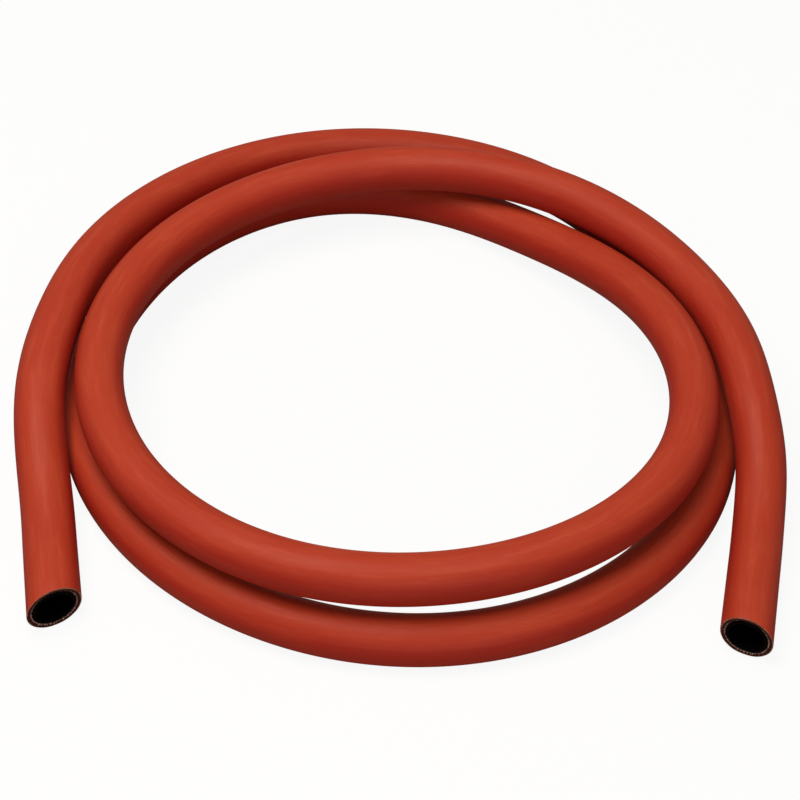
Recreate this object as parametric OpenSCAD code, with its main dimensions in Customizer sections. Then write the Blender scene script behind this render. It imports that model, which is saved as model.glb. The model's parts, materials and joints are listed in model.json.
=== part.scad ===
// Coil of rubber hose with a textile reinforcement and two plain cut ends.
// Millimetres, +Z up. The coil lies on Z = 0 and the origin is at the middle of its footprint.

/* [Hose wall] */
// Bore, for a half inch hose tail
bore_d = 12.7; // [10:0.1:16]
// Wall of the black inner tube
tube_wall = 1.3; // [0.8:0.05:2.5]
// Thickness of the textile braid
textile_wall = 0.5; // [0.3:0.05:1]
// Wall of the red outer cover
cover_wall = 1.35; // [0.8:0.05:2.5]

/* [Coil] */
// Radius of the loops, to the middle of the hose
coil_r = 120; // [110:1:170]
// Space between one strand and the next
strand_gap = 0.6; // [0.6:0.1:3]
// Length of the straight end at each cut
end_len = 27; // [20:1:40]

/* [Hidden] */

// Diameters of the layers, each bonded to the next
tube_d = bore_d + 2 * tube_wall;
textile_d = tube_d + 2 * textile_wall;
hose_d = textile_d + 2 * cover_wall;

// The coiled run is swept as flats: this many round the hose, and this many rings in a loop
sides = 10;
loop_rings = 24;
// The outside and the bore of a straight end are true cylinders, drawn with this many facets,
// and the layers meet inside it on this many flats
round_facets = 96;
end_sides = 12;
// Corner radius of the polygon of n sides that has the area of a circle of radius 1
function corner(n) = sqrt(2 * PI / (n * sin(360 / n)));
strand_pitch = corner(sides) * hose_d + strand_gap;
// Overlap that joins things meant to be one solid, and carries a cut past the face it opens
lap = 0.01;

// Where the hose lies on the floor its underside is flat, to this depth
flat_depth = hose_d / 10;
floor_z = hose_d / 2 - flat_depth;
// The cut ends are round all the way, so their middles lie this much higher, in pitches
end_up = flat_depth / strand_pitch;

// How the hose is laid, from the left end to the right one and clockwise from above:
// the angle round the coil, then pitches beyond coil_r, then pitches above the floor strand.
// Three stations at one height start and finish the lay, so both ends come out level.
lay = [
    [225, 2.5, end_up], [215, 1.75, end_up], [205, 1.25, end_up], [190, 1, 1],
    [170, 0.75, 1], [145, 1.25, 0.6], [105, 1.75, 0.25], [60, 1.2, 0],
    [15, -0.3, 0], [-30, 0.6, 0], [-75, 0.6, 0], [-120, 0.25, 0],
    [-165, 0.25, 0], [-210, 0.25, 0], [-255, 0.75, 0], [-300, -1, 0.1],
    [-345, -0.9, 1], [-390, 0.25, 1.1], [-435, 0, 1.1], [-480, 0, 1],
    [-525, -0.1, 1], [-570, -0.25, 1], [-615, -0.5, 1.1], [-660, -0.25, 1.2],
    [-695, 0.1, 1], [-715, 0.5, 1], [-730, 0.75, 1], [-740, 1.25, 0.5],
    [-750, 1.6, end_up], [-760, 2.2, end_up], [-765, 2.7, end_up]
];
spans = len(lay) - 3;

// A uniform cubic B-spline eases the hose along its stations, t from 0 to spans
function weights(u) = [
    pow(1 - u, 3),
    3 * pow(u, 3) - 6 * pow(u, 2) + 4,
    3 * (u + pow(u, 2) - pow(u, 3)) + 1,
    pow(u, 3)
] / 6;
function laid(t) =
    let (i = max(0, min(spans - 1, floor(t))))
    weights(t - i) * [for (k = [0:3]) lay[i + k]];
function route(t) =
    let (l = laid(t), r = coil_r + l[1] * strand_pitch)
    [r * cos(l[0]), r * sin(l[0]), floor_z + l[2] * strand_pitch];

function unit(v) = v / norm(v);
// Step in t over which a heading is measured
small_step = 0.001;
function heading(t) = unit(route(t + small_step) - route(t - small_step));

// Where on the lay the rings sit, as dense as loop_rings asks
function rings_in(i) = ceil((lay[i + 1][0] - lay[i + 2][0]) * loop_rings / 360);
ring_t = [for (i = [0:spans - 1]) for (k = [0:rings_in(i) - 1]) i + k / rings_in(i), spans];
last = len(ring_t) - 1;

centres = [for (t = ring_t) route(t)];
headings = [for (t = ring_t) heading(t)];

// A corner of a ring of radius r. Over the floor each layer keeps its depth inside the wall.
function across(h) = unit([h.y, -h.x, 0]);
function ring_corner(i, j, r) =
    let (
        h = headings[i],
        a = 270 + (j + 0.5) * 360 / sides,
        p = centres[i] + corner(sides) * r * (across(h) * cos(a) + cross(across(h), h) * sin(a))
    )
    [p.x, p.y, max(p.z, hose_d / 2 - r)];
function wall_points(r) = [for (i = [0:last]) for (j = [0:sides - 1]) ring_corner(i, j, r)];

// The cut faces: outwards direction and middle, at the left (end = 0) and at the right (end = 1)
function outwards(end) = end == 0 ? -headings[0] : headings[last];
function mouth(end) = centres[end == 0 ? 0 : last] + outwards(end) * end_len;

// The footprint's middle, from the swept wall and the widest points of the cut faces
footprint = concat(
    wall_points(hose_d / 2),
    [for (end = [0, 1]) for (s = [-1, 1]) mouth(end) + s * hose_d / 2 * across(outwards(end))]
);
function middle(axis) =
    let (v = [for (p = footprint) p[axis]]) (min(v) + max(v)) / 2;
origin = [middle(0), middle(1), 0];

// Least distance from a point to the straight run between two ring centres
function to_run(p, a, b) =
    let (u = max(0, min(1, (p - a) * (b - a) / ((b - a) * (b - a))))) norm(p - a - u * (b - a));
half_loop = loop_rings / 2;
least_gap = min([
    for (i = [0:last - 1]) for (j = [0:last - 1]) if (abs(i - j) > half_loop) for (u = [0, 0.5])
        to_run(centres[i] * (1 - u) + centres[i + 1] * u, centres[j], centres[j + 1])
]) - corner(sides) * hose_d;
hose_length = 2 * end_len
    + [for (i = [1:last]) norm(centres[i] - centres[i - 1])] * [for (i = [1:last]) 1];

echo(least_gap_between_strands = least_gap);
echo(hose_length = hose_length, hose_d = hose_d, strand_pitch = strand_pitch);
for (end = [0, 1]) echo(end = end, mouth = mouth(end) - origin, outwards = outwards(end));

// One wall of the coiled run, between two radii, from the one straight end to the other
module swept_layer(r_in, r_out) {
    rings = last + 1;
    // Corner j of ring i, on the outer surface (0) or the inner one (1)
    function at(skin, i, j) = skin * rings * sides + i * sides + j % sides;
    function skin_faces(skin) = [
        for (i = [0:last - 1]) for (j = [0:sides - 1])
            let (
                a = at(skin, i, j), b = at(skin, i, j + 1),
                c = at(skin, i + 1, j + 1), d = at(skin, i + 1, j)
            )
            each skin == 0 ? [[a, b, c], [a, c, d]] : [[c, b, a], [d, c, a]]
    ];
    function cut_faces(i, first) = [
        for (j = [0:sides - 1])
            let (
                a = at(0, i, j), b = at(0, i, j + 1), c = at(1, i, j + 1), d = at(1, i, j)
            )
            each first ? [[c, b, a], [d, c, a]] : [[a, b, c], [a, c, d]]
    ];
    polyhedron(
        points = concat(wall_points(r_out), wall_points(r_in)),
        faces = concat(skin_faces(0), skin_faces(1), cut_faces(0, true), cut_faces(last, false))
    );
}

// A bar along a straight end: round for a bare surface, flat-sided between two bonded layers
module end_bar(r, bare, depth) {
    if (bare) cylinder(r = r, h = depth, $fn = round_facets);
    else cylinder(r = corner(end_sides) * r, h = depth, $fn = end_sides);
}

// One wall of a straight end, from the cut face to just past the start of the coiled run
module straight_end(end, r_in, r_out) {
    o = outwards(end);
    depth = end_len + lap;
    translate(mouth(end)) rotate([0, 90, atan2(-o.y, -o.x)]) difference() {
        end_bar(r_out, r_out == hose_d / 2, depth);
        translate([0, 0, -lap]) end_bar(r_in, r_in == bore_d / 2, depth + 2 * lap);
    }
}

module layer(d_in, d_out) {
    translate(-origin) {
        swept_layer(d_in / 2, d_out / 2);
        for (end = [0, 1]) straight_end(end, d_in / 2, d_out / 2);
    }
}

module outer_cover() { color("firebrick") layer(textile_d, hose_d); }
module textile_braid() { color("burlywood") layer(tube_d, textile_d); }
module inner_tube() { color("#1e1c1b") layer(bore_d, tube_d); }

outer_cover();
textile_braid();
inner_tube();
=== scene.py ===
"""A coil of red rubber hose: cured rubber cover, braided yarn and black inner tube.

Lengths are in millimetres, and MM turns them to Blender's metres.
"""

import json
import math

import bpy
import numpy as np
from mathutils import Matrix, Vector


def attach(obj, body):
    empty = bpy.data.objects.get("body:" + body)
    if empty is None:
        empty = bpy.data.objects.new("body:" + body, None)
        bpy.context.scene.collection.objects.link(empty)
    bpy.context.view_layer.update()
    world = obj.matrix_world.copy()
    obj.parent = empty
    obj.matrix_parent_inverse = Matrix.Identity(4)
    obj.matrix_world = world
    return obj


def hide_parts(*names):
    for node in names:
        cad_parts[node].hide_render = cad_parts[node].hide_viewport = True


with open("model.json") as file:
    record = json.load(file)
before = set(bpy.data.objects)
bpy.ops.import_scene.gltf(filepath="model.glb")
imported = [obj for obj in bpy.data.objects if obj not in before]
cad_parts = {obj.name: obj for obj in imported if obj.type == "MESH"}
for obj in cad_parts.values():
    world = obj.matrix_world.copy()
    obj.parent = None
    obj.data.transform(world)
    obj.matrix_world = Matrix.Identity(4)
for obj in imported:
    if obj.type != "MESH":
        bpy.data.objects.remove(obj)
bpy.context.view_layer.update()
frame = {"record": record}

MM = 0.001
SEED = 20

# ---------------------------------------------------------------- the hose's sizes

BORE_D = 12.7
TUBE_WALL = 1.3
BRAID_WALL = 0.5
COVER_WALL = 1.35
COIL_R = 120
STRAND_GAP = 0.6
END_LEN = 27

TUBE_R = BORE_D / 2 + TUBE_WALL
BRAID_R = TUBE_R + BRAID_WALL
HOSE_R = BRAID_R + COVER_WALL
HOSE_D = 2 * HOSE_R
YARN_R = (TUBE_R + BRAID_R) / 2

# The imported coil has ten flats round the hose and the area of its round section, so its edges
# stand out CORNER times as far as the round skin, and that sets the pitch of its strands
FLATS = 10
CORNER = math.sqrt(2 * math.pi / (FLATS * math.sin(2 * math.pi / FLATS)))
PITCH = CORNER * HOSE_D + STRAND_GAP

# A strand on the floor is flat below by a tenth of the hose, and the ends just touch the floor
FLAT_DEPTH = HOSE_D / 10
FLOOR_Z = HOSE_R - FLAT_DEPTH
END_UP = FLAT_DEPTH / PITCH

# How the hose is laid, from the left end to the right one and clockwise from above: the angle
# round the coil, pitches beyond COIL_R, and pitches above the floor strand
LAY = np.array([
    [225, 2.5, END_UP], [215, 1.75, END_UP], [205, 1.25, END_UP], [190, 1, 1],
    [170, 0.75, 1], [145, 1.25, 0.6], [105, 1.75, 0.25], [60, 1.2, 0],
    [15, -0.3, 0], [-30, 0.6, 0], [-75, 0.6, 0], [-120, 0.25, 0],
    [-165, 0.25, 0], [-210, 0.25, 0], [-255, 0.75, 0], [-300, -1, 0.1],
    [-345, -0.9, 1], [-390, 0.25, 1.1], [-435, 0, 1.1], [-480, 0, 1],
    [-525, -0.1, 1], [-570, -0.25, 1], [-615, -0.5, 1.1], [-660, -0.25, 1.2],
    [-695, 0.1, 1], [-715, 0.5, 1], [-730, 0.75, 1], [-740, 1.25, 0.5],
    [-750, 1.6, END_UP], [-760, 2.2, END_UP], [-765, 2.7, END_UP],
])
SPANS = len(LAY) - 3


def unit(v):
    """Rows of v, each made one long."""
    return v / np.linalg.norm(v, axis=-1, keepdims=True)


def laid(t):
    """The stations of LAY, eased by a uniform cubic B-spline, at each t from 0 to SPANS."""
    i = np.clip(np.floor(t).astype(int), 0, SPANS - 1)
    u = (t - i)[:, None]
    parts = [(1 - u) ** 3, 3 * u**3 - 6 * u**2 + 4, 3 * (u + u**2 - u**3) + 1, u**3]
    return sum(w / 6 * LAY[i + k] for k, w in enumerate(parts))


def route(t):
    """Points on the hose's middle line about the coil's own centre."""
    angle, out, up = laid(t).T
    r = COIL_R + out * PITCH
    a = np.radians(angle)
    return np.stack([r * np.cos(a), r * np.sin(a), FLOOR_Z + up * PITCH], axis=1)


class Line:
    """The hose's middle line by its length: its coiled run with a straight end at each cut."""

    STEPS_PER_SPAN = 400
    # The heading at a place is taken from this far before it to this far past it
    REACH = 0.5

    def __init__(self):
        run = route(np.linspace(0, SPANS, SPANS * self.STEPS_PER_SPAN + 1))
        left_mouth = run[0] + unit(run[0] - run[1]) * END_LEN
        right_mouth = run[-1] + unit(run[-1] - run[-2]) * END_LEN
        self.centre = self.shift(left_mouth)
        self.points = np.vstack([left_mouth, run, right_mouth]) + self.centre
        steps = np.linalg.norm(np.diff(self.points, axis=0), axis=1)
        self.at = np.concatenate([[0], np.cumsum(steps)])
        self.length = self.at[-1]

    def shift(self, mouth):
        """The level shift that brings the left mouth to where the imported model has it."""
        mount = next(m for m in frame["record"]["mounts"] if m["name"] == "left_end_outside")
        packed = np.array(mount["pos_m"]) / MM + np.array(mount["axis"]) * END_LEN / 2
        return (packed - mouth) * (1, 1, 0)

    def between(self, s):
        """Points at lengths s, none of them past a mouth."""
        return np.stack([np.interp(s, self.at, axis) for axis in self.points.T], axis=1)

    def heading(self, s):
        """The way that the line runs at lengths s, as rows one long."""
        mid = np.clip(s, self.REACH, self.length - self.REACH)
        return unit(self.between(mid + self.REACH) - self.between(mid - self.REACH))

    def point(self, s):
        """Points at lengths s; past either mouth the line runs straight on."""
        inside = np.clip(s, 0, self.length)
        return self.between(inside) + self.heading(s) * (s - inside)[:, None]

    def cross_section(self, s):
        """(middle, sideways, upwards) at lengths s, where sideways lies level."""
        h = self.heading(s)
        side = unit(np.stack([h[:, 1], -h[:, 0], np.zeros(len(h))], axis=1))
        return self.point(s), side, np.cross(side, h)


line = Line()

# ---------------------------------------------------------------- camera

CAMERA_UP_DEG = 44
CAMERA_FAR = 803
LENS, SENSOR = 90, 36


def add_camera():
    """A camera in front that looks down at the coil's own centre on the floor."""
    aim = Vector(line.centre) * MM
    up = math.radians(CAMERA_UP_DEG)
    data = bpy.data.cameras.new("camera")
    data.lens, data.sensor_width = LENS, SENSOR
    obj = bpy.data.objects.new("camera", data)
    bpy.context.scene.collection.objects.link(obj)
    obj.location = aim + Vector((0, -math.cos(up), math.sin(up))) * CAMERA_FAR * MM
    obj.rotation_euler = (math.radians(90) - up, 0, 0)
    bpy.context.scene.camera = obj


# ---------------------------------------------------------------- materials


def hex_rgb(code):
    """An sRGB hex colour, such as AD3024, as linear red, green, blue and alpha."""

    def linear(c):
        return c / 12.92 if c <= 0.04045 else ((c + 0.055) / 1.055) ** 2.4

    return [linear(int(code[i:i + 2], 16) / 255) for i in (0, 2, 4)] + [1.0]


def emptied_tree(owner):
    """The node tree of a new material or world, with nothing in it."""
    owner.use_nodes = True
    owner.node_tree.nodes.clear()
    return owner.node_tree


def add(tree, kind, inputs=None, **settings):
    """A shader node of one kind with its settings. inputs gives each socket, by name or
    number, a value, an output to link from, or a node, which stands for its first output."""
    made = tree.nodes.new("ShaderNode" + kind)
    for key, value in settings.items():
        setattr(made, key, value)
    for key, value in (inputs or {}).items():
        if isinstance(value, bpy.types.Node):
            value = value.outputs[0]
        if isinstance(value, bpy.types.NodeSocket):
            tree.links.new(value, made.inputs[key])
        else:
            made.inputs[key].default_value = value
    return made


# The sockets of a Mix node that mixes colours: how much of the second colour, both colours,
# and its output
SHARE, FIRST, SECOND, MIXED = 0, 6, 7, 2

# The point attribute that holds each place on the hose pulled straight, with z along it
STRAIGHT = "straight"

RUBBER_IOR = 1.52
# Dry wax that has bloomed out of old rubber dulls the mirror part of its shine, and talc more
BLOOMED_SPECULAR = 0.15
TALCED_SPECULAR = 0.03

# Patterns of the cover: how wide each is, and how high where it stands out. Real die lines are
# about 0.2 wide and the grain about 0.05, too fine to show, so both are drawn coarser.
CLOUD = 2 * HOSE_D
BLOOM = 7
SCUFF = 3
SATIN_PATCH = 11
WAVE, WAVE_HIGH = 14, 0.35
DIE_LINE, DIE_LINE_HIGH = 0.8, 0.04
GRAIN, GRAIN_HIGH = 0.45, 0.03
# How far up the skin faces where the painted top light starts on it, and where it is full
TOP_LIGHT_STARTS, TOP_LIGHT_FULL = 0.4, 0.85


def cured_red_rubber():
    """Cover rubber, extruded and cured under a wrap. It gives the eye a satin red, a little
    wavy and cloudy and faintly drawn lengthwise by the die, with streaks of orange bloom. Its
    upward-facing side is painted lighter and more orange as painted light, the underside stays
    deep red, and pale scuffs run along it where strands rubbed, drawn only on the upper side,
    so that they are partly painted highlights."""
    material = bpy.data.materials.new("cured_red_rubber")
    tree = emptied_tree(material)
    hose = add(tree, "Attribute", attribute_name=STRAIGHT).outputs["Vector"]
    # Bloom and satin run 4 times as long as they are wide, rubs 10 times and die lines 33 times
    streaks = add(tree, "VectorMath", {0: hose, 1: (1, 1, 0.25)}, operation="MULTIPLY")
    rubs = add(tree, "VectorMath", {0: hose, 1: (1, 1, 0.1)}, operation="MULTIPLY")
    drawn = add(tree, "VectorMath", {0: hose, 1: (1, 1, 0.03)}, operation="MULTIPLY")

    # Painted light: skin that faces upwards is painted lighter and more orange, as light from
    # above would make it
    normal = add(tree, "NewGeometry").outputs["Normal"]
    upwards = add(tree, "SeparateXYZ", {0: normal}).outputs["Z"]
    painted_top_light = add(tree, "MapRange", {
        "Value": upwards, "From Min": TOP_LIGHT_STARTS, "From Max": TOP_LIGHT_FULL,
    })
    clouds = add(tree, "TexNoise", {"Vector": hose, "Scale": 1 / CLOUD, "Detail": 3})
    clouded = add(tree, "MapRange", {
        "Value": clouds, "From Min": 0.35, "From Max": 0.65, "To Max": 0.3,
    })
    bloom = add(tree, "TexNoise", {
        "Vector": streaks, "Scale": 1 / BLOOM, "Detail": 4, "Roughness": 0.6,
    })
    bloomed = add(tree, "MapRange", {
        "Value": bloom, "From Min": 0.52, "From Max": 0.78, "To Max": 0.35,
    })
    scuffs = add(tree, "TexNoise", {
        "Vector": rubs, "Scale": 1 / SCUFF, "Detail": 5, "Roughness": 0.7,
    })
    rubbed = add(tree, "MapRange", {
        "Value": scuffs, "From Min": 0.48, "From Max": 0.78, "To Max": 0.45,
    })
    # Wear and painted highlight: the pale scuffs are drawn only under the painted top light, so
    # they read as highlights along the ridges
    scuffs_and_painted_highlight = add(tree, "Math", {0: rubbed, 1: painted_top_light}, operation="MULTIPLY")
    # Deep red below, then the painted top light, clouds, bloom streaks, and scuffs that are
    # partly painted highlights
    colour = hex_rgb("A2271A")
    layers = ((painted_top_light, "B13B22"), (clouded, "A62C1B"), (bloomed, "B84229"), (scuffs_and_painted_highlight, "C8563A"))
    for share, code in layers:
        colour = add(tree, "Mix", {SHARE: share, FIRST: colour, SECOND: hex_rgb(code)},
                     data_type="RGBA").outputs[MIXED]

    patches = add(tree, "TexNoise", {"Vector": streaks, "Scale": 1 / SATIN_PATCH, "Detail": 3})
    satin = add(tree, "MapRange", {
        "Value": patches, "From Min": 0.3, "From Max": 0.7, "To Min": 0.45, "To Max": 0.6,
    })
    waves = add(tree, "TexNoise", {"Vector": hose, "Scale": 1 / WAVE})
    lines = add(tree, "TexNoise", {"Vector": drawn, "Scale": 1 / DIE_LINE})
    grain = add(tree, "TexNoise", {"Vector": hose, "Scale": 1 / GRAIN})
    wavy = add(tree, "Bump", {"Height": waves, "Distance": WAVE_HIGH * MM})
    lined = add(tree, "Bump", {"Height": lines, "Distance": DIE_LINE_HIGH * MM, "Normal": wavy})
    relief = add(tree, "Bump", {"Height": grain, "Distance": GRAIN_HIGH * MM, "Normal": lined})
    shader = add(tree, "BsdfPrincipled", {
        "Base Color": colour, "Roughness": satin, "Normal": relief,
        "IOR": RUBBER_IOR, "Specular IOR Level": BLOOMED_SPECULAR,
    })
    add(tree, "OutputMaterial", {"Surface": shader})
    return material


# Patterns of the cut face. A blade really leaves marks under 0.1 wide, too fine to show, so
# they are drawn coarser.
DRAG_MARK = 0.5
DRAG_RIDGE, DRAG_RIDGE_HIGH = 0.3, 0.12
NICK = 2.2
# The burr fades in from one depth below the skin to the other
BURR_STARTS, BURR_FULL = 0.55, 0.1
# Its pale nicks, painted glints, fade from full to faint between these two heights above the
# middle of the hose
GLINT_NICKS_FULL, GLINT_NICKS_FAINT = -3, 5


def knife_cut_red_rubber():
    """Cover rubber that a knife went through. It gives the eye a matt face, almost black, with
    drag marks, and a thin lighter burr at the skin, partly a painted lit edge, with pale nicks
    that are painted glints, palest below."""
    material = bpy.data.materials.new("knife_cut_red_rubber")
    tree = emptied_tree(material)
    hose = add(tree, "Attribute", attribute_name=STRAIGHT).outputs["Vector"]
    # The knife's marks run sideways, 3 times as long as they are wide
    across = add(tree, "VectorMath", {0: hose, 1: (0.35, 1, 1)}, operation="MULTIPLY")
    section = add(tree, "VectorMath", {0: hose, 1: (1, 1, 0)}, operation="MULTIPLY")
    from_middle = add(tree, "VectorMath", {0: section}, operation="LENGTH").outputs["Value"]
    height = add(tree, "SeparateXYZ", {0: hose}).outputs["Y"]

    marks = add(tree, "TexNoise", {"Vector": across, "Scale": 1 / DRAG_MARK, "Detail": 3})
    dragged = add(tree, "MapRange", {"Value": marks, "From Min": 0.35, "From Max": 0.65})
    face = add(tree, "Mix", {
        SHARE: dragged, FIRST: hex_rgb("250908"), SECOND: hex_rgb("45130F"),
    }, data_type="RGBA")
    nicks = add(tree, "TexNoise", {"Vector": hose, "Scale": 1 / NICK, "Detail": 3})
    nicked = add(tree, "MapRange", {"Value": nicks, "From Min": 0.42, "From Max": 0.62})
    # Painted glints: the nicks are drawn paler low on the cut, where its bevel faces down and
    # gets less light
    low = add(tree, "MapRange", {
        "Value": height, "From Min": GLINT_NICKS_FAINT, "From Max": GLINT_NICKS_FULL, "To Min": 0.15,
    })
    nicks_and_painted_glints = add(tree, "Math", {0: nicked, 1: low}, operation="MULTIPLY")
    # The burr's lighter brown is partly a painted lit edge at the rim
    burr = add(tree, "Mix", {
        SHARE: nicks_and_painted_glints, FIRST: hex_rgb("8A4A36"), SECOND: hex_rgb("DDABA0"),
    }, data_type="RGBA")
    skin = add(tree, "MapRange", {
        "Value": from_middle, "From Min": HOSE_R - BURR_STARTS, "From Max": HOSE_R - BURR_FULL,
    })
    colour = add(tree, "Mix", {
        SHARE: skin, FIRST: face.outputs[MIXED], SECOND: burr.outputs[MIXED],
    }, data_type="RGBA")

    ridges = add(tree, "TexNoise", {"Vector": across, "Scale": 1 / DRAG_RIDGE, "Detail": 3})
    relief = add(tree, "Bump", {"Height": ridges, "Distance": DRAG_RIDGE_HIGH * MM})
    shader = add(tree, "BsdfPrincipled", {
        "Base Color": colour.outputs[MIXED], "Roughness": 0.75, "Normal": relief,
        "IOR": RUBBER_IOR, "Specular IOR Level": BLOOMED_SPECULAR,
    })
    add(tree, "OutputMaterial", {"Surface": shader})
    return material


# Patterns of the bore. The mandrel's lines and the grain are really under 0.1 wide, too fine
# to show, so both are drawn coarser.
TALC_PATCH = 3
SMOOTH_PATCH = 2.5
MANDREL_LINE, MANDREL_LINE_HIGH = 0.7, 0.06
BORE_GRAIN, BORE_GRAIN_HIGH = 0.35, 0.03


def carbon_black_rubber():
    """Inner tube rubber, filled with carbon black and cured on a mandrel. It gives the eye a
    near black bore without shine, with faint lines along it, and greyer where talc still
    lies."""
    material = bpy.data.materials.new("carbon_black_rubber")
    tree = emptied_tree(material)
    hose = add(tree, "Attribute", attribute_name=STRAIGHT).outputs["Vector"]
    # The mandrel's lines run 25 times as long as they are wide
    drawn = add(tree, "VectorMath", {0: hose, 1: (1, 1, 0.04)}, operation="MULTIPLY")

    talc = add(tree, "TexNoise", {
        "Vector": hose, "Scale": 1 / TALC_PATCH, "Detail": 4, "Roughness": 0.6,
    })
    talced = add(tree, "MapRange", {
        "Value": talc, "From Min": 0.55, "From Max": 0.85, "To Max": 0.5,
    })
    colour = add(tree, "Mix", {
        SHARE: talced, FIRST: hex_rgb("030202"), SECOND: hex_rgb("090606"),
    }, data_type="RGBA")
    patches = add(tree, "TexNoise", {"Vector": drawn, "Scale": 1 / SMOOTH_PATCH})
    dull = add(tree, "MapRange", {
        "Value": patches, "From Min": 0.3, "From Max": 0.7, "To Min": 0.55, "To Max": 0.68,
    })
    lines = add(tree, "TexNoise", {"Vector": drawn, "Scale": 1 / MANDREL_LINE})
    grain = add(tree, "TexNoise", {"Vector": hose, "Scale": 1 / BORE_GRAIN})
    lined = add(tree, "Bump", {"Height": lines, "Distance": MANDREL_LINE_HIGH * MM})
    relief = add(tree, "Bump", {
        "Height": grain, "Distance": BORE_GRAIN_HIGH * MM, "Normal": lined,
    })
    shader = add(tree, "BsdfPrincipled", {
        "Base Color": colour.outputs[MIXED], "Roughness": dull, "Normal": relief,
        "IOR": RUBBER_IOR, "Specular IOR Level": TALCED_SPECULAR,
    })
    add(tree, "OutputMaterial", {"Surface": shader})
    return material


# Patterns of the braid. The fuzz of spun yarn is really about 0.02 thick, too fine to show,
# so it is drawn coarser.
YARN_PITCH, YARN_HIGH = 1.1, 0.25
FUZZ, FUZZ_HIGH = 0.25, 0.08
SOOT_PATCH = 1.8
BRAID_DEG = 45
# At scale 1 a wave texture has about three bands to the millimetre
BANDS = 3


def braided_yarn():
    """Spun yarn, braided two ways over the tube. It gives the eye a matt, fuzzy weave, pink
    from the cement that bonds it to the cover, with soot off the tube smeared over it in
    patches."""
    material = bpy.data.materials.new("braided_yarn")
    tree = emptied_tree(material)
    hose = add(tree, "Attribute", attribute_name=STRAIGHT).outputs["Vector"]
    parts = add(tree, "SeparateXYZ", {0: hose})
    turn = add(tree, "Math", {0: parts.outputs["Y"], 1: parts.outputs["X"]}, operation="ARCTAN2")
    around = add(tree, "Math", {0: turn, 1: YARN_R}, operation="MULTIPLY")
    unrolled = add(tree, "CombineXYZ", {"X": around, "Y": parts.outputs["Z"]})

    ways = []
    for lean in (BRAID_DEG, -BRAID_DEG):
        turned = add(tree, "VectorRotate", {"Vector": unrolled, "Angle": math.radians(lean)},
                     rotation_type="Z_AXIS")
        yarns = add(tree, "TexWave", {
            "Vector": turned, "Scale": 1 / (YARN_PITCH * BANDS), "Distortion": 0.6,
        }, bands_direction="X")
        ways.append(yarns.outputs["Fac"])
    weave = add(tree, "Math", {0: ways[0], 1: ways[1]}, operation="MAXIMUM")
    fuzz = add(tree, "TexNoise", {"Vector": hose, "Scale": 1 / FUZZ, "Detail": 3})
    fuzzy = add(tree, "MapRange", {
        "Value": fuzz, "From Min": 0.3, "From Max": 0.7, "To Max": 0.35,
    })
    soot = add(tree, "TexNoise", {"Vector": hose, "Scale": 1 / SOOT_PATCH})
    sooty = add(tree, "MapRange", {
        "Value": soot, "From Min": 0.42, "From Max": 0.62, "To Max": 0.8,
    })
    colour = hex_rgb("7A4A3E")
    for share, code in ((weave, "DDB8A8"), (fuzzy, "A8705F"), (sooty, "341A15")):
        colour = add(tree, "Mix", {SHARE: share, FIRST: colour, SECOND: hex_rgb(code)},
                     data_type="RGBA").outputs[MIXED]

    woven = add(tree, "Bump", {"Height": weave, "Distance": YARN_HIGH * MM})
    relief = add(tree, "Bump", {"Height": fuzz, "Distance": FUZZ_HIGH * MM, "Normal": woven})
    shader = add(tree, "BsdfPrincipled", {
        "Base Color": colour, "Roughness": 0.85, "Normal": relief,
        "Sheen Weight": 0.2, "Sheen Roughness": 0.4,
    })
    add(tree, "OutputMaterial", {"Surface": shader})
    return material


# ---------------------------------------------------------------- meshes


def add_mesh(name, points, faces, materials):
    """A smooth-shaded mesh object from points in mm."""
    mesh = bpy.data.meshes.new(name)
    mesh.from_pydata((np.asarray(points) * MM).tolist(), [], faces)
    mesh.polygons.foreach_set("use_smooth", [True] * len(mesh.polygons))
    for material in materials:
        mesh.materials.append(material)
    mesh.update()
    obj = bpy.data.objects.new(name, mesh)
    bpy.context.scene.collection.objects.link(obj)
    return obj


def store_straight(obj, places):
    """Keeps each point's place on the hose pulled straight for the materials to read."""
    data = obj.data.attributes.new(STRAIGHT, "FLOAT_VECTOR", "POINT")
    data.data.foreach_set("vector", np.asarray(places, np.float32).ravel())


# The free left end has sagged a little oval over this length of hose
SAG = 0.05
SAG_LENGTH = 230


def bend(places):
    """Places on the straight hose, (x, y, length), carried to where the coiled hose has them."""
    x, y, s = np.asarray(places, float).T
    middle, side, up = line.cross_section(s)
    left = 1 - np.clip(s / SAG_LENGTH, 0, 1)
    sag = SAG * left**2 * (3 - 2 * left)
    x, y = x * (1 + sag), y * (1 - sag) - HOSE_R * sag
    return middle + x[:, None] * side + y[:, None] * up


# Neither end was cut square: the left side of the left end and the right side of the right
# end stand out further
LEFT_SLANT = math.tan(math.radians(20))
RIGHT_SLANT = math.tan(math.radians(15))
# The knife wandered too: how many waves in a turn, how strong against the first, and its phase
KNIFE_WANDER = 0.1
KNIFE_WAVES = ((1, 1, 0.7), (2, 0.45, 2.1), (5, 0.25, 0.4))


def knife_stray(x, turn, out):
    """How far along the hose the knife strayed: its slant at x mm from the middle, and its
    wander at each angle round it. out is 1 at the right end and -1 at the left one."""
    wander = sum(size * np.sin(waves * turn + phase) for waves, size, phase in KNIFE_WAVES)
    return KNIFE_WANDER * wander - out * np.where(out < 0, LEFT_SLANT, RIGHT_SLANT) * x


LEAST_RECESS, MOST_RECESS = 0.1, 0.5


def braid_recess(turn):
    """How far the braid has drawn back behind the cut at each angle: most at the top."""
    return LEAST_RECESS + (MOST_RECESS - LEAST_RECESS) / 2 * (1 + np.sin(turn))


CUT_BEVEL = 0.3
BEVEL_DEG = (0, 30, 60, 90)
# Rows of points across the flat of a cut face, as shares of the wall
FACE_ROWS = (0.4, 0.5, 0.6)


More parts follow.
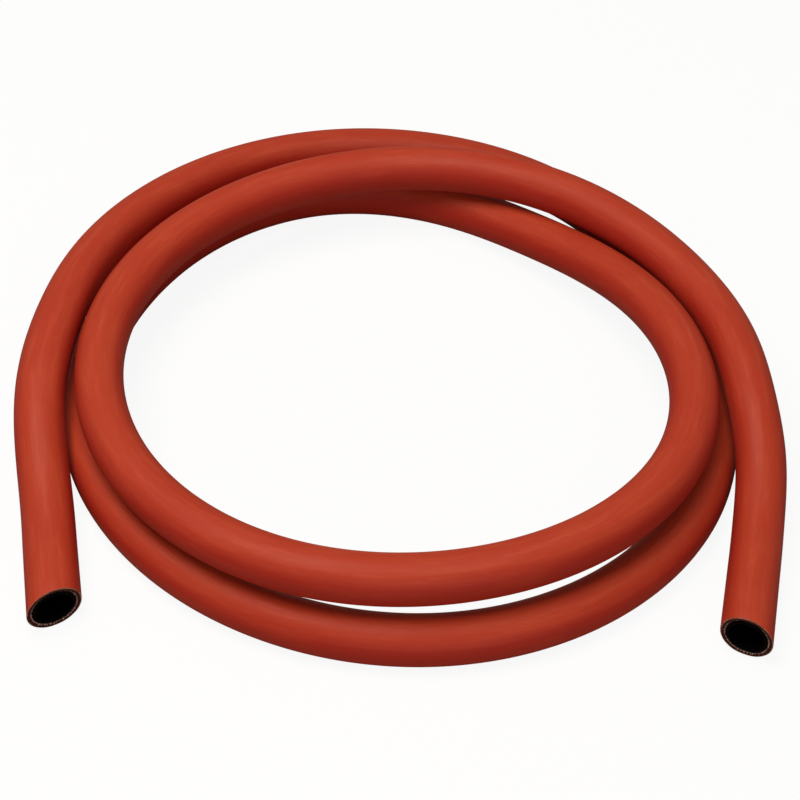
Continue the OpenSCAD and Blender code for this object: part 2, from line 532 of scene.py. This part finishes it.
def cut_profile(r_out, r_in):
    """(depth behind the cut, radius) from the outside over the cut face to the inside."""

    def edge(radius, inwards):
        return [
            (CUT_BEVEL * (1 - math.sin(a)), radius + inwards * CUT_BEVEL * (1 - math.cos(a)))
            for a in (math.radians(turned) for turned in BEVEL_DEG)
        ]

    face = [(0, r_out + (r_in - r_out) * share) for share in FACE_ROWS]
    return edge(r_out, -1) + face + edge(r_in, 1)[::-1]


# Where the hose meets the floor it turns flat over about this height
FLOOR_EASE = 0.25


def soft_floor(z, low):
    """z kept above low, turning smoothly."""
    above = z - low
    return low + (above + np.sqrt(above**2 + FLOOR_EASE**2)) / 2


SIDES = 72
# Rows of points along a wall that is seen, and along one that isn't
SEEN_STEP = 2.5
HIDDEN_STEP = 6
# The even rows start this far behind the deepest point of a slanted cut
CUT_MARGIN = 1


def add_layer(name, node, r_out, r_in, materials, steps, recess=np.zeros_like):
    """One wall of the hose as a closed tube, with its edges eased where the knife cut it. The
    first material is the wall's and the last one the cut faces'. steps are the rows' spacing
    outside and inside, and recess is how far the layer ends behind the cut."""
    margin = HOSE_R * LEFT_SLANT + CUT_MARGIN
    far = line.length - margin
    cut = cut_profile(r_out, r_in)
    counts = [round((far - margin) / step) for step in steps]
    rows = [(s, r_out, 0) for s in np.linspace(margin, far, counts[0])]
    rows += [(line.length - depth, r, 1) for depth, r in cut]
    rows += [(s, r_in, 0) for s in np.linspace(far, margin, counts[1])]
    rows += [(depth, r, -1) for depth, r in cut[::-1]]
    s, r, at_cut = np.array(rows).T

    turn = 2 * np.pi * (np.arange(SIDES) + 0.5) / SIDES - np.pi / 2
    x, y, out = r[:, None] * np.cos(turn), r[:, None] * np.sin(turn), at_cut[:, None]
    stray = abs(out) * knife_stray(x, turn, out) - out * recess(turn)
    grid = np.stack([x, y, s[:, None] + stray], axis=-1).reshape(-1, 3)
    points = bend(grid)
    depth_in_wall = HOSE_R - np.repeat(r, SIDES)
    points[:, 2] = soft_floor(points[:, 2], depth_in_wall)

    row, side = np.meshgrid(np.arange(len(rows)), np.arange(SIDES), indexing="ij")
    next_row, next_side = (row + 1) % len(rows), (side + 1) % SIDES
    faces = np.stack([
        row * SIDES + side, next_row * SIDES + side,
        next_row * SIDES + next_side, row * SIDES + next_side,
    ], axis=-1).reshape(-1, 4)
    obj = add_mesh(name, points, faces.tolist(), materials)
    store_straight(obj, grid)
    on_cut = np.repeat((at_cut != 0) & (np.roll(at_cut, -1) != 0), SIDES)
    obj.data.polygons.foreach_set("material_index", on_cut * (len(materials) - 1))
    obj.data.update()
    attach(obj, "root")
    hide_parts(node)
    return obj


# Cut yarns round each end, and the spun filaments of each
YARN_ENDS = 44
FILAMENTS = 3
FILAMENT_R = 0.11
FILAMENT_SIDES = 6
# How far a filament strays, in yarns round the ring and in mm across it
STRAY_ROUND = 0.16
STRAY_ACROSS = 0.12
# How far it reaches out of the braid, the share of that which it loses at the top and gains
# below, and how far it leans for each mm of reach
LEAST_REACH, MOST_REACH = 0.05, 0.4
LOST_AT_TOP = 0.7
LEAN = 0.4
# How deep its root lies in the braid, and the share of its width at shares of its reach
ROOT = 0.5
TAPER = ((0.5, 1), (0.9, 0.8), (1, 0.25))


def add_yarn_ends(name, end, material):
    """The cut yarns of the braid round one cut face: tufts that stand a little out of it,
    splayed and of uneven length. end is 0 at the left and 1 at the right."""
    random = np.random.default_rng(SEED + end)
    out = 1 if end else -1
    face = line.length if end else 0
    round_it = 2 * np.pi * np.arange(FILAMENT_SIDES) / FILAMENT_SIDES
    places, faces = [], []
    for k in range(YARN_ENDS * FILAMENTS):
        turn = 2 * np.pi * (k // FILAMENTS + random.normal(0, STRAY_ROUND)) / YARN_ENDS
        start_r = YARN_R + random.uniform(-STRAY_ACROSS, STRAY_ACROSS)
        reach = random.uniform(LEAST_REACH, MOST_REACH) * (1 - LOST_AT_TOP * np.sin(turn))
        lean = random.normal(0, LEAN, 2)
        rings = []
        for depth, width in [(-ROOT, 1)] + [(share * reach, wide) for share, wide in TAPER]:
            away = max(depth, 0) * lean
            x = (start_r + away[0]) * np.cos(turn) - away[1] * np.sin(turn)
            y = (start_r + away[0]) * np.sin(turn) + away[1] * np.cos(turn)
            s = face + knife_stray(x, turn, out) + out * (depth - braid_recess(turn))
            rings.append(range(len(places), len(places) + FILAMENT_SIDES))
            places += [
                (x + width * FILAMENT_R * np.cos(a), y + width * FILAMENT_R * np.sin(a), s)
                for a in round_it
            ]
        for low, high in zip(rings, rings[1:]):
            for j in range(FILAMENT_SIDES):
                next_j = (j + 1) % FILAMENT_SIDES
                faces.append([low[j], low[next_j], high[next_j], high[j]][::out])
        faces += [rings[-1][::out], rings[0][::-out]]
    obj = add_mesh(name, bend(places), faces, [material])
    store_straight(obj, places)
    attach(obj, "root")
    return obj


# ---------------------------------------------------------------- the studio

FLOOR_HALF = 3000
# What the camera sees of the floor is near white and partly glows. What it throws back on the
# hose is a warm grey.
FLOOR_WHITE = "F4F2EF"
FLOOR_BOUNCE = "A89A8C"
FLOOR_GLOW = 0.91


def add_floor():
    """A pale floor that renders near white and still takes the hose's shadow."""
    paper = bpy.data.materials.new("studio_floor_paper")
    tree = emptied_tree(paper)
    seen = add(tree, "LightPath").outputs["Is Camera Ray"]
    colour = add(tree, "Mix", {
        SHARE: seen, FIRST: hex_rgb(FLOOR_BOUNCE), SECOND: hex_rgb(FLOOR_WHITE),
    }, data_type="RGBA")
    matt = add(tree, "BsdfDiffuse", {"Color": colour.outputs[MIXED]})
    glow = add(tree, "Emission", {"Color": (1, 1, 1, 1), "Strength": 1.0})
    glowing = add(tree, "Math", {0: seen, 1: FLOOR_GLOW}, operation="MULTIPLY")
    both = add(tree, "MixShader", {0: glowing, 1: matt, 2: glow})
    add(tree, "OutputMaterial", {"Surface": both})
    h = FLOOR_HALF
    corners = [(-h, -h, 0), (h, -h, 0), (h, h, 0), (-h, h, 0)]
    add_mesh("studio_floor", corners, [(0, 1, 2, 3)], [paper])


# The softboxes' light as linear red, green and blue
WARM_WHITE = (1.0, 0.94, 0.86)


def add_softbox(name, place, size, watts):
    """A square area light at place, turned to the middle of the floor."""
    data = bpy.data.lights.new(name, "AREA")
    data.shape, data.size = "SQUARE", size * MM
    data.energy, data.color = watts, WARM_WHITE
    obj = bpy.data.objects.new(name, data)
    bpy.context.scene.collection.objects.link(obj)
    obj.location = Vector(place) * MM
    obj.rotation_mode = "QUATERNION"
    obj.rotation_quaternion = (-Vector(place)).to_track_quat("-Z", "Y")


WORLD_FILL = 0.26


def add_world():
    """White behind everything that the camera sees, and a weak even fill for the rest."""
    world = bpy.data.worlds.new("studio")
    tree = emptied_tree(world)
    seen = add(tree, "LightPath").outputs["Is Camera Ray"]
    strength = add(tree, "MapRange", {"Value": seen, "To Min": WORLD_FILL})
    sky = add(tree, "Background", {"Color": (1, 1, 1, 1), "Strength": strength})
    add(tree, "OutputWorld", {"Surface": sky})
    bpy.context.scene.world = world


# ---------------------------------------------------------------- the scene

bpy.context.scene.view_settings.view_transform = "Standard"
add_camera()

red, red_cut = cured_red_rubber(), knife_cut_red_rubber()
black, yarn = carbon_black_rubber(), braided_yarn()
cover = add_layer("hose_cover", "outer_cover", HOSE_R, BRAID_R,
                  [red, red_cut], (SEEN_STEP, HIDDEN_STEP))
braid = add_layer("hose_braid", "textile_braid", BRAID_R, TUBE_R,
                  [yarn], (HIDDEN_STEP, HIDDEN_STEP), braid_recess)
tube = add_layer("hose_inner_tube", "inner_tube", TUBE_R, BORE_D / 2,
                 [black], (HIDDEN_STEP, SEEN_STEP))
tufts = [
    add_yarn_ends("yarn_ends_left", 0, yarn),
    add_yarn_ends("yarn_ends_right", 1, yarn),
]

add_floor()
add_softbox("overhead_softbox", (-240, -60, 1100), 700, 10.1)
add_softbox("front_fill", (150, -1400, 500), 1000, 4.8)
add_world()
